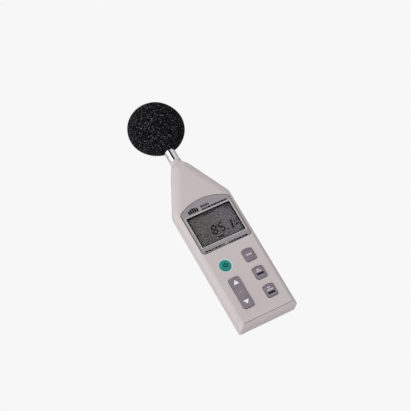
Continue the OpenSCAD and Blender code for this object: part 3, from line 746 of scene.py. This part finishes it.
def foam_ball():
    """Lathed ball of foam with torn pores all over, a soft mouth and the bore for the microphone."""
    low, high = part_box("windscreen")
    radius = (high.z - low.z) / 2
    centre = Vector((0, 0, (high.z + low.z) / 2))
    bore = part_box("mic_grid")[1].x + 0.0002
    bore_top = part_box("mic_grid")[1].z + 0.0004
    lip = 0.0012
    around, down = 440, 200
    mouth = math.pi - math.asin((bore + lip) / radius)
    angles = np.linspace(0.004, mouth, down)
    profile = [(radius * math.sin(a), centre.z + radius * math.cos(a)) for a in angles]
    outer = len(profile)
    base_z = profile[-1][1]
    for i in range(1, 7):
        turn = math.radians(90 * i / 6)
        profile.append((bore + lip * (1 - math.sin(turn)), base_z + lip * (1 - math.cos(turn))))
    steps = 24
    profile += [(bore, base_z + lip + (bore_top - base_z - lip) * i / steps) for i in range(1, steps + 1)]
    turns = np.linspace(0, 2 * math.pi, around, endpoint=False)
    rings = np.array(profile)
    points = np.stack([np.outer(rings[:, 0], np.cos(turns)), np.outer(rings[:, 0], np.sin(turns)),
                       np.repeat(rings[:, 1:], around, axis=1)], axis=2).reshape(-1, 3)

    draw = np.random.default_rng(7)
    pore_count, smallest, largest = 9000, 0.0004, 0.0008
    heights = draw.uniform(-1, 1, pore_count)
    headings = draw.uniform(0, 2 * math.pi, pore_count)
    flat = np.sqrt(1 - heights ** 2)
    pores = np.stack([flat * np.cos(headings), flat * np.sin(headings), heights], axis=1) * radius
    sizes = draw.uniform(smallest, largest, pore_count)
    tree = kdtree.KDTree(pore_count)
    for i, pore in enumerate(pores):
        tree.insert(pore, i)
    tree.balance()
    away = points - np.array(centre)
    directions = away / np.linalg.norm(away, axis=1)[:, None]
    dents = np.zeros(len(points), np.float32)
    for k in range(outer * around):
        for _, index, distance in tree.find_n(away[k], 3):
            share = distance / sizes[index]
            if share < 1:
                dents[k] = max(dents[k], (1 - share * share) * sizes[index])
    # The ball is squeezed a little out of round along one slanting direction, and pressed in at two places
    pore_depth, squeeze_share, full_dent = 0.7, 0.06, 0.0010
    facing = math.radians(CAMERA_AZIMUTH)

    def seen(across, up):
        """Direction that looks across and up from the front of the camera's side."""
        aim = np.array((across * math.cos(facing), across * math.sin(facing), up))
        return aim / np.linalg.norm(aim)

    shell = slice(0, outer * around)
    moved = points.copy()
    moved[shell] -= directions[shell] * dents[shell, None] * pore_depth
    for aim, wide, deep in ((seen(-0.6, -0.8), 0.35, 0.0011), (seen(0.85, 0.5), 0.2, 0.0006)):
        press = deep * np.clip(1 - (1 - directions[shell] @ aim) / wide, 0, 1) ** 2
        moved[shell] -= directions[shell] * press[:, None]
    squeeze = seen(0.57, 0.82)
    along = (moved[shell] - np.array(centre)) @ squeeze
    moved[shell] -= np.outer(along * squeeze_share, squeeze)
    dents /= full_dent
    work = bmesh.new()
    verts = [work.verts.new(p) for p in moved]
    for row in range(len(profile) - 1):
        for i in range(around):
            j = (i + 1) % around
            work.faces.new((verts[row * around + i], verts[(row + 1) * around + i],
                            verts[(row + 1) * around + j], verts[row * around + j]))
    work.faces.new(verts[:around])
    work.faces.new(verts[-around:][::-1])
    bmesh.ops.recalc_face_normals(work, faces=work.faces)
    mesh = bpy.data.meshes.new("foam_windscreen")
    work.to_mesh(mesh)
    work.free()
    # How deep each point lies in a pore; the foam material darkens the strands there as painted shade.
    mesh.attributes.new("dent", "FLOAT", "POINT").data.foreach_set("value", dents)
    mesh.shade_smooth()
    piece = new_piece("foam_windscreen", mesh, "foam_ball", foam(), ["windscreen"])
    return piece


# ---------------------------------------------------------------- side and back details

def side_sockets():
    """Metal sleeve in the signal output, the power inlet's pin and its contact ring."""
    steel = metal("socket_metal", srgb(206, 206, 208), srgb(168, 166, 164), 0.2)
    sunk, proud = 0.004, 0.00015
    for node, name, radius, wide in (("output_jack", "output_sleeve", 0.0018, 0.0005),
                                     ("dc_jack", "inlet_ring", 0.0028, 0.00025)):
        low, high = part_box(node)
        z = (low.z + high.z) / 2
        lathe(name, [(radius, high.x - sunk), (radius, high.x + proud), (radius + wide, high.x + proud),
                     (radius + wide, high.x - sunk)], (0, 0, z), "X", "meter", steel)
    low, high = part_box("dc_jack")
    z = (low.z + high.z) / 2
    tip = high.x - 0.0009
    root, pin_r, core_r = low.x + 0.003, 0.00103, 0.0001
    lathe("inlet_pin", [(core_r, tip), (0.0007, tip - 0.0001), (pin_r, tip - 0.0005), (pin_r, root),
                        (core_r, root)], (0, 0, z), "X", "meter", steel, 32)


def back_print():
    """Plain blocks for the print on the rear label, and an arrow on the battery door."""
    low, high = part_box("rear_label")
    face = high.y
    dark = ink("label_ink", srgb(58, 58, 62), srgb(84, 84, 88))
    inset = 0.0016
    rows = []
    for i, z in enumerate(np.arange(high.z - 0.006, low.z + 0.008, -0.0042)):
        start = (low.x + 0.005) * (1.0 if i % 3 else 0.4)
        rows += words(start, high.x - 0.004, z, 0.0013 if i else 0.0022, 51 + i)
    plates("label_print", rows, face, face + LABEL_INK, "meter", dark)
    rim_frame("label_frame", (low.x + inset, low.z + inset, high.x - inset, high.z - inset), 0.0003,
              face + LABEL_INK, face, "meter", dark)
    low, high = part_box("battery_door")
    grey = ink("door_ink", srgb(128, 118, 122), srgb(150, 141, 144))
    arrow = [(-0.0035, 0.0365), (0.0, 0.0318), (0.0035, 0.0365)]
    plates("door_arrow", [arrow], high.y, high.y + LABEL_INK, "door", grey)


# ---------------------------------------------------------------- pieces and finishes

def paint(material, *names):
    """Gives CAD nodes a material."""
    for name in names:
        slots = NODES[name].material_slots
        for slot in slots:
            slot.material = material


def dress_frame():
    """Gives every CAD node that stays its finish."""
    paint(case_plastic(), "front_housing", "rear_housing", "battery_door")
    paint(dark_plastic(), "lcd_holder", "processor_chip", "output_jack", "dc_jack")
    paint(lcd_glass(), "lcd_panel")
    paint(clear_window(), "display_window")
    paint(elastomer(), "zebra_strips")
    paint(silicone(), "keypad_mat")
    paint(circuit_board(), "main_pcb", "preamp_board")
    paint(metal("bright_steel", srgb(190, 192, 196), srgb(150, 150, 152)), "pcb_screws", "shield_can",
          "battery_springs", "battery_contacts")
    paint(metal("screw_steel", srgb(128, 130, 134), srgb(92, 90, 88), 0.34), "case_screws")
    paint(trimmer_plastic("trimmer_blue", srgb(43, 79, 154), srgb(36, 70, 142)), "trimmer_body")
    paint(trimmer_plastic("trimmer_cream", srgb(216, 201, 138), srgb(205, 189, 124)), "trimmer_rotor")
    paint(chrome(), "mic_tube")
    paint(metal("mic_metal", srgb(196, 197, 200), srgb(160, 160, 164), 0.24),
          "mic_capsule", "mic_grid", "mic_diaphragm")
    paint(moulded("wire_sleeve", srgb(170, 44, 44), srgb(150, 36, 38), srgb(196, 84, 80), edge=0.0001),
          "mic_lead")
    paint(metal("brass", srgb(188, 156, 88), srgb(128, 98, 54), 0.3, pitch=0.00127), "tripod_insert")
    paint(cell_wrap("cell_gold", srgb(196, 152, 70), srgb(46, 46, 50), 0.7), "cell_1", "cell_3")
    paint(cell_wrap("cell_dark", srgb(46, 46, 50), srgb(196, 152, 70), 0.3), "cell_2", "cell_4")
    paint(paper_label(), "rear_label")


def front_rim(node, depth):
    """Chooses the edges of a node that lie within depth of its front."""
    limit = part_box(node)[0].y + depth
    return lambda a, b: a.y < limit and b.y < limit


def bezel_rim(a, b):
    """Chooses the bezel's outer front edges and leaves those round its window."""
    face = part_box("display_bezel")[0].y
    x0, z0, x1, z1 = opening()
    slack = 0.0003
    in_window = all(x0 - slack < p.x < x1 + slack and z0 - slack < p.z < z1 + slack for p in (a, b))
    return max(a.y, b.y) < face + 0.0001 and not in_window


def shaped_keys():
    """The keys, the rocker, the button and the bezel, with their front edges rounded."""
    rubber = key_rubber()
    rim = 0.0006
    for node, body in (("key_upper", "upper_key"), ("key_middle", "middle_key"), ("key_lower", "lower_key"),
                       ("level_rocker", "rocker")):
        softened(node, body, rubber, rim, front_rim(node, 0.0005))
    softened("power_button", "power_key", power_rubber(), rim,
             front_rim("power_button", 0.0003))
    softened("display_bezel", "meter", bezel_plastic(), 0.0003, bezel_rim, 2)


# ---------------------------------------------------------------- stage

def camera():
    """The photograph's camera, aimed at the meter from its orbit and rolled."""
    azimuth, elevation = math.radians(CAMERA_AZIMUTH), math.radians(CAMERA_ELEVATION)
    back = Vector((math.sin(azimuth) * math.cos(elevation), -math.cos(azimuth) * math.cos(elevation),
                   math.sin(elevation)))
    level = (-back).to_track_quat("-Z", "Y")
    turned = level @ Quaternion((0, 0, 1), math.radians(CAMERA_ROLL))
    right, up = level @ Vector((1, 0, 0)), level @ Vector((0, 1, 0))
    target = Vector((0, 0, TARGET_HEIGHT)) + right * TARGET_RIGHT + up * TARGET_UP
    eye = bpy.data.objects.new("camera", bpy.data.cameras.new("camera"))
    eye.data.sensor_width = 36
    eye.data.lens = CAMERA_LENS
    eye.data.clip_end = 20
    eye.rotation_mode = "QUATERNION"
    eye.rotation_quaternion = turned
    eye.location = target + back * CAMERA_DISTANCE
    bpy.context.scene.collection.objects.link(eye)
    bpy.context.scene.camera = eye


def studio_world():
    """Near-white backdrop for the eye, a soft tent that is brighter from the left for the light, and for
    reflections a ring of tall cards: a white one left of the camera, a black one before it, and greys
    around."""
    world = bpy.data.worlds.new("studio")
    bpy.context.scene.world = world
    world.use_nodes = True
    tree = world.node_tree
    nodes, links = tree.nodes, tree.links
    backdrop = nodes["Background"]
    backdrop.inputs["Color"].default_value = srgb(247, 247, 247)
    direction = nodes.new("ShaderNodeTexCoord").outputs["Generated"]
    rays = nodes.new("ShaderNodeLightPath").outputs

    def dot(axis):
        node = nodes.new("ShaderNodeVectorMath")
        node.operation = "DOT_PRODUCT"
        node.inputs[1].default_value = Vector(axis).normalized()
        links.new(direction, node.inputs[0])
        return node.outputs["Value"]

    def lit(colour):
        node = nodes.new("ShaderNodeBackground")
        links.new(colour, node.inputs["Color"])
        return node.outputs[0]

    def ramp(value, low, high, stops):
        """Colour of a value between low and high, from (place, colour) stops."""
        turn = nodes.new("ShaderNodeMapRange")
        for socket, number in zip(("From Min", "From Max"), (low, high)):
            turn.inputs[socket].default_value = number
        links.new(value, turn.inputs["Value"])
        node = nodes.new("ShaderNodeValToRGB")
        for i, (place, colour) in enumerate(stops):
            share = (place - low) / (high - low)
            stop = node.color_ramp.elements[i] if i < 2 else node.color_ramp.elements.new(share)
            stop.position = share
            stop.color = colour
        links.new(turn.outputs[0], node.inputs["Fac"])
        return node.outputs["Color"]

    def choose(factor, first, second):
        node = nodes.new("ShaderNodeMixShader")
        for socket, value in zip(node.inputs, (factor, first, second)):
            links.new(value, socket)
        return node.outputs[0]

    tent = ramp(dot(TENT_BRIGHT_SIDE), -1, 1, ((-1, TENT_DIM), (1, TENT_BRIGHT)))
    facing = math.radians(CAMERA_AZIMUTH)
    bearing = nodes.new("ShaderNodeMath")
    bearing.operation = "ARCTAN2"
    links.new(dot((math.cos(facing), math.sin(facing), 0)), bearing.inputs[0])
    links.new(dot((math.sin(facing), -math.cos(facing), 0)), bearing.inputs[1])
    cards = ramp(bearing.outputs[0], -math.pi, math.pi,
                 [(math.radians(degrees), (level, level, level, 1)) for degrees, level in CARDS])
    seen = choose(rays["Is Glossy Ray"], lit(tent), lit(cards))
    surface = choose(rays["Is Camera Ray"], seen, backdrop.outputs[0])
    links.new(surface, nodes["World Output"].inputs["Surface"])


def studio_lamp(name, place, size, power):
    """A round lamp aimed at the middle of the meter."""
    lamp = bpy.data.objects.new(name, bpy.data.lights.new(name, "AREA"))
    lamp.data.shape = "DISK"
    lamp.data.size = size
    lamp.data.energy = power
    lamp.location = place
    lamp.rotation_mode = "QUATERNION"
    lamp.rotation_quaternion = (Vector(LAMP_AIM) - Vector(place)).to_track_quat("-Z", "Y")
    bpy.context.scene.collection.objects.link(lamp)


def studio_floor():
    """Pale floor that fades into the backdrop in a circle; it shows from above only, and nothing but the
    camera sees it."""
    squares = 12
    work = bmesh.new()
    bmesh.ops.create_grid(work, x_segments=squares, y_segments=squares, size=FLOOR_REACH)
    mesh = bpy.data.meshes.new("floor")
    work.to_mesh(mesh)
    work.free()
    floor = bpy.data.objects.new("floor", mesh)
    floor.location = (0, 0, -FLOOR_DROP)
    bpy.context.scene.collection.objects.link(floor)
    recipe = Recipe("floor_paper", Roughness=0.9)
    recipe.shader.inputs["Specular IOR Level"].default_value = 0.0
    mottle = recipe.spread(recipe.noise(6, 3), 0.3, 0.7)
    tone = recipe.blend(mottle, srgb(240, 240, 240), srgb(236, 236, 237))
    recipe.join(tone, recipe.shader.inputs["Base Color"])
    length = recipe.add("ShaderNodeVectorMath", operation="LENGTH")
    recipe.join(recipe.coords, length.inputs[0])
    fade = recipe.spread(length.outputs["Value"], FLOOR_REACH * 0.3, FLOOR_REACH * 0.98)
    under = recipe.add("ShaderNodeNewGeometry").outputs["Backfacing"]
    gone = recipe.maths("MAXIMUM", fade, under)
    mix = recipe.add("ShaderNodeMixShader")
    recipe.join(gone, mix.inputs[0])
    recipe.join(recipe.shader.outputs[0], mix.inputs[1])
    recipe.join(recipe.add("ShaderNodeBsdfTransparent").outputs[0], mix.inputs[2])
    recipe.join(mix.outputs[0], recipe.tree.nodes["Material Output"].inputs["Surface"])
    floor.data.materials.append(recipe.material)
    for flag in ("visible_diffuse", "visible_glossy", "visible_transmission", "visible_shadow"):
        setattr(floor, flag, False)


camera()
studio_world()
studio_lamp("key_lamp", LAMP_PLACE, LAMP_SIZE, LAMP_POWER)
studio_floor()
bpy.context.scene.view_settings.view_transform = "Standard"

dress_frame()
shaped_keys()
display()
bezel_dressing()
key_print()
key_gap_shades()
score_line_shade()
rocker_print()
power_print()
side_sockets()
back_print()
foam_ball()
